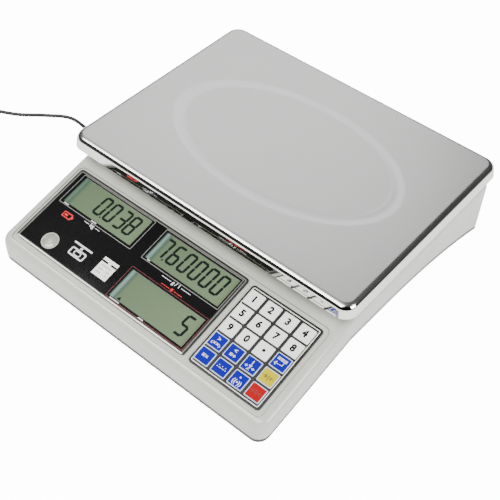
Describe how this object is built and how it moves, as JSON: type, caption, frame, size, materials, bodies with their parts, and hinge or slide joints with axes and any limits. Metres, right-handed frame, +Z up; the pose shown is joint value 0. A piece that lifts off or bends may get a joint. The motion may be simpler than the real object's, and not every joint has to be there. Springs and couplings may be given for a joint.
{
  "type": "counting scale",
  "caption": "Bench counting scale: rounded stainless platter on a wedge-shaped plastic housing with three LCD windows, a keypad, levelling feet and a low-voltage adaptor lead.",
  "frame": {"origin": "centre of the footprint, on the surface that the feet stand on", "axes": "+Z up, the operator stands at -Y, +X is the operator's right"},
  "size_m": [0.585, 0.341, 0.105],
  "materials": {
    "base_plastic": "fine texture",
    "housing_plastic": "satin, fine texture",
    "zinc_steel": "zinc plated",
    "painted_steel": "satin",
    "aluminium": "as machined",
    "black_plastic": "semi-gloss",
    "lens": "polished, printed black behind",
    "lcd_glass": "flat, grey-green",
    "circuit_board": "satin",
    "level_silver": "semi-gloss",
    "level_window": "clear",
    "grey_rubber": "matte",
    "stainless": "fine satin grain",
    "lead_sheath": "satin",
    "nickel": "nickel plated",
    "foot_rubber": "matte",
    "key_white": "satin",
    "key_blue": "satin",
    "key_yellow": "satin",
    "key_red": "satin"
  },
  "bodies": {
    "base": {"base_tray": "base_plastic", "upper_housing": "housing_plastic", "housing_screws": "zinc_steel", "chassis_plate": "painted_steel", "cell_spacer_lower": "aluminium", "load_cell": "aluminium", "cell_bolts_lower": "zinc_steel", "overload_stops": "zinc_steel", "display_bezel": "black_plastic", "display_lens": "lens", "lcd_weight": "lcd_glass", "lcd_unit_weight": "lcd_glass", "lcd_quantity": "lcd_glass", "display_board": "circuit_board", "level_cup": "level_silver", "level_vial": "level_window", "keypad_frame": "black_plastic", "keypad_mat": "grey_rubber", "keypad_board": "circuit_board", "main_board": "circuit_board", "battery": "black_plastic", "battery_door": "base_plastic", "switch_body": "black_plastic", "dc_jack": "black_plastic", "barrel_plug": "black_plastic", "power_lead": "lead_sheath", "lead_coil": "lead_sheath", "adaptor_case": "black_plastic", "adaptor_pins": "nickel"},
    "platform": {"spider": "aluminium", "spider_pads": "grey_rubber", "cell_spacer_upper": "aluminium", "cell_bolts_upper": "zinc_steel"},
    "platter_body": {"platter": "stainless"},
    "rocker": {"switch_rocker": "black_plastic"},
    "foot_front_left_body": {"foot_front_left": "foot_rubber"},
    "foot_front_right_body": {"foot_front_right": "foot_rubber"},
    "foot_rear_left_body": {"foot_rear_left": "foot_rubber"},
    "foot_rear_right_body": {"foot_rear_right": "foot_rubber"},
    "key_1_cap": {"key_1": "key_white"},
    "key_2_cap": {"key_2": "key_white"},
    "key_3_cap": {"key_3": "key_white"},
    "key_4_cap": {"key_4": "key_white"},
    "key_5_cap": {"key_5": "key_white"},
    "key_6_cap": {"key_6": "key_white"},
    "key_7_cap": {"key_7": "key_white"},
    "key_8_cap": {"key_8": "key_white"},
    "key_9_cap": {"key_9": "key_white"},
    "key_0_cap": {"key_0": "key_white"},
    "key_point_cap": {"key_point": "key_white"},
    "key_enter_cap": {"key_enter": "key_blue"},
    "key_clear_cap": {"key_clear": "key_blue"},
    "key_memory_add_cap": {"key_memory_add": "key_blue"},
    "key_unit_weight_cap": {"key_unit_weight": "key_blue"},
    "key_tare_cap": {"key_tare": "key_yellow"},
    "key_memory_clear_cap": {"key_memory_clear": "key_blue"},
    "key_sample_cap": {"key_sample": "key_blue"},
    "key_alarm_cap": {"key_alarm": "key_blue"},
    "key_zero_cap": {"key_zero": "key_red"}
  },
  "joints": [
    {"name": "weighing_deflection", "type": "slide", "parent": "base", "child": "platform", "axis": [0, 0, -1], "range_m": [0, 0.0005], "stiffness_N_per_m": 150000, "springref_m": -0.0002, "deforming": ["load_cell"]},
    {"name": "platter_lift_off", "type": "slide", "parent": "platform", "child": "platter_body", "axis": [0, 0, 1], "range_m": [0, 0.08]},
    {"name": "power_switch_rock", "type": "hinge", "parent": "base", "child": "rocker", "pos_m": [0.147, 0, 0.0425], "axis": [0, 0, -1], "range_deg": [0, 14]},
    {"name": "foot_front_left_screw_out", "type": "slide", "parent": "base", "child": "foot_front_left_body", "axis": [0, 0, -1], "range_m": [0, 0.006]},
    {"name": "foot_front_right_screw_out", "type": "slide", "parent": "base", "child": "foot_front_right_body", "axis": [0, 0, -1], "range_m": [0, 0.006]},
    {"name": "foot_rear_left_screw_out", "type": "slide", "parent": "base", "child": "foot_rear_left_body", "axis": [0, 0, -1], "range_m": [0, 0.006]},
    {"name": "foot_rear_right_screw_out", "type": "slide", "parent": "base", "child": "foot_rear_right_body", "axis": [0, 0, -1], "range_m": [0, 0.006]},
    {"name": "key_1_press", "type": "slide", "parent": "base", "child": "key_1_cap", "axis": [0, 0.2419, -0.9703], "range_m": [0, 0.0005], "stiffness_N_per_m": 3000, "springref_m": -0.0001},
    {"name": "key_2_press", "type": "slide", "parent": "base", "child": "key_2_cap", "axis": [0, 0.2419, -0.9703], "range_m": [0, 0.0005], "stiffness_N_per_m": 3000, "springref_m": -0.0001},
    {"name": "key_3_press", "type": "slide", "parent": "base", "child": "key_3_cap", "axis": [0, 0.2419, -0.9703], "range_m": [0, 0.0005], "stiffness_N_per_m": 3000, "springref_m": -0.0001},
    {"name": "key_4_press", "type": "slide", "parent": "base", "child": "key_4_cap", "axis": [0, 0.2419, -0.9703], "range_m": [0, 0.0005], "stiffness_N_per_m": 3000, "springref_m": -0.0001},
    {"name": "key_5_press", "type": "slide", "parent": "base", "child": "key_5_cap", "axis": [0, 0.2419, -0.9703], "range_m": [0, 0.0005], "stiffness_N_per_m": 3000, "springref_m": -0.0001},
    {"name": "key_6_press", "type": "slide", "parent": "base", "child": "key_6_cap", "axis": [0, 0.2419, -0.9703], "range_m": [0, 0.0005], "stiffness_N_per_m": 3000, "springref_m": -0.0001},
    {"name": "key_7_press", "type": "slide", "parent": "base", "child": "key_7_cap", "axis": [0, 0.2419, -0.9703], "range_m": [0, 0.0005], "stiffness_N_per_m": 3000, "springref_m": -0.0001},
    {"name": "key_8_press", "type": "slide", "parent": "base", "child": "key_8_cap", "axis": [0, 0.2419, -0.9703], "range_m": [0, 0.0005], "stiffness_N_per_m": 3000, "springref_m": -0.0001},
    {"name": "key_9_press", "type": "slide", "parent": "base", "child": "key_9_cap", "axis": [0, 0.2419, -0.9703], "range_m": [0, 0.0005], "stiffness_N_per_m": 3000, "springref_m": -0.0001},
    {"name": "key_0_press", "type": "slide", "parent": "base", "child": "key_0_cap", "axis": [0, 0.2419, -0.9703], "range_m": [0, 0.0005], "stiffness_N_per_m": 3000, "springref_m": -0.0001},
    {"name": "key_point_press", "type": "slide", "parent": "base", "child": "key_point_cap", "axis": [0, 0.2419, -0.9703], "range_m": [0, 0.0005], "stiffness_N_per_m": 3000, "springref_m": -0.0001},
    {"name": "key_enter_press", "type": "slide", "parent": "base", "child": "key_enter_cap", "axis": [0, 0.2419, -0.9703], "range_m": [0, 0.0005], "stiffness_N_per_m": 3000, "springref_m": -0.0001},
    {"name": "key_clear_press", "type": "slide", "parent": "base", "child": "key_clear_cap", "axis": [0, 0.2419, -0.9703], "range_m": [0, 0.0005], "stiffness_N_per_m": 3000, "springref_m": -0.0001},
    {"name": "key_memory_add_press", "type": "slide", "parent": "base", "child": "key_memory_add_cap", "axis": [0, 0.2419, -0.9703], "range_m": [0, 0.0005], "stiffness_N_per_m": 3000, "springref_m": -0.0001},
    {"name": "key_unit_weight_press", "type": "slide", "parent": "base", "child": "key_unit_weight_cap", "axis": [0, 0.2419, -0.9703], "range_m": [0, 0.0005], "stiffness_N_per_m": 3000, "springref_m": -0.0001},
    {"name": "key_tare_press", "type": "slide", "parent": "base", "child": "key_tare_cap", "axis": [0, 0.2419, -0.9703], "range_m": [0, 0.0005], "stiffness_N_per_m": 3000, "springref_m": -0.0001},
    {"name": "key_memory_clear_press", "type": "slide", "parent": "base", "child": "key_memory_clear_cap", "axis": [0, 0.2419, -0.9703], "range_m": [0, 0.0005], "stiffness_N_per_m": 3000, "springref_m": -0.0001},
    {"name": "key_sample_press", "type": "slide", "parent": "base", "child": "key_sample_cap", "axis": [0, 0.2419, -0.9703], "range_m": [0, 0.0005], "stiffness_N_per_m": 3000, "springref_m": -0.0001},
    {"name": "key_alarm_press", "type": "slide", "parent": "base", "child": "key_alarm_cap", "axis": [0, 0.2419, -0.9703], "range_m": [0, 0.0005], "stiffness_N_per_m": 3000, "springref_m": -0.0001},
    {"name": "key_zero_press", "type": "slide", "parent": "base", "child": "key_zero_cap", "axis": [0, 0.2419, -0.9703], "range_m": [0, 0.0005], "stiffness_N_per_m": 3000, "springref_m": -0.0001}
  ]
}
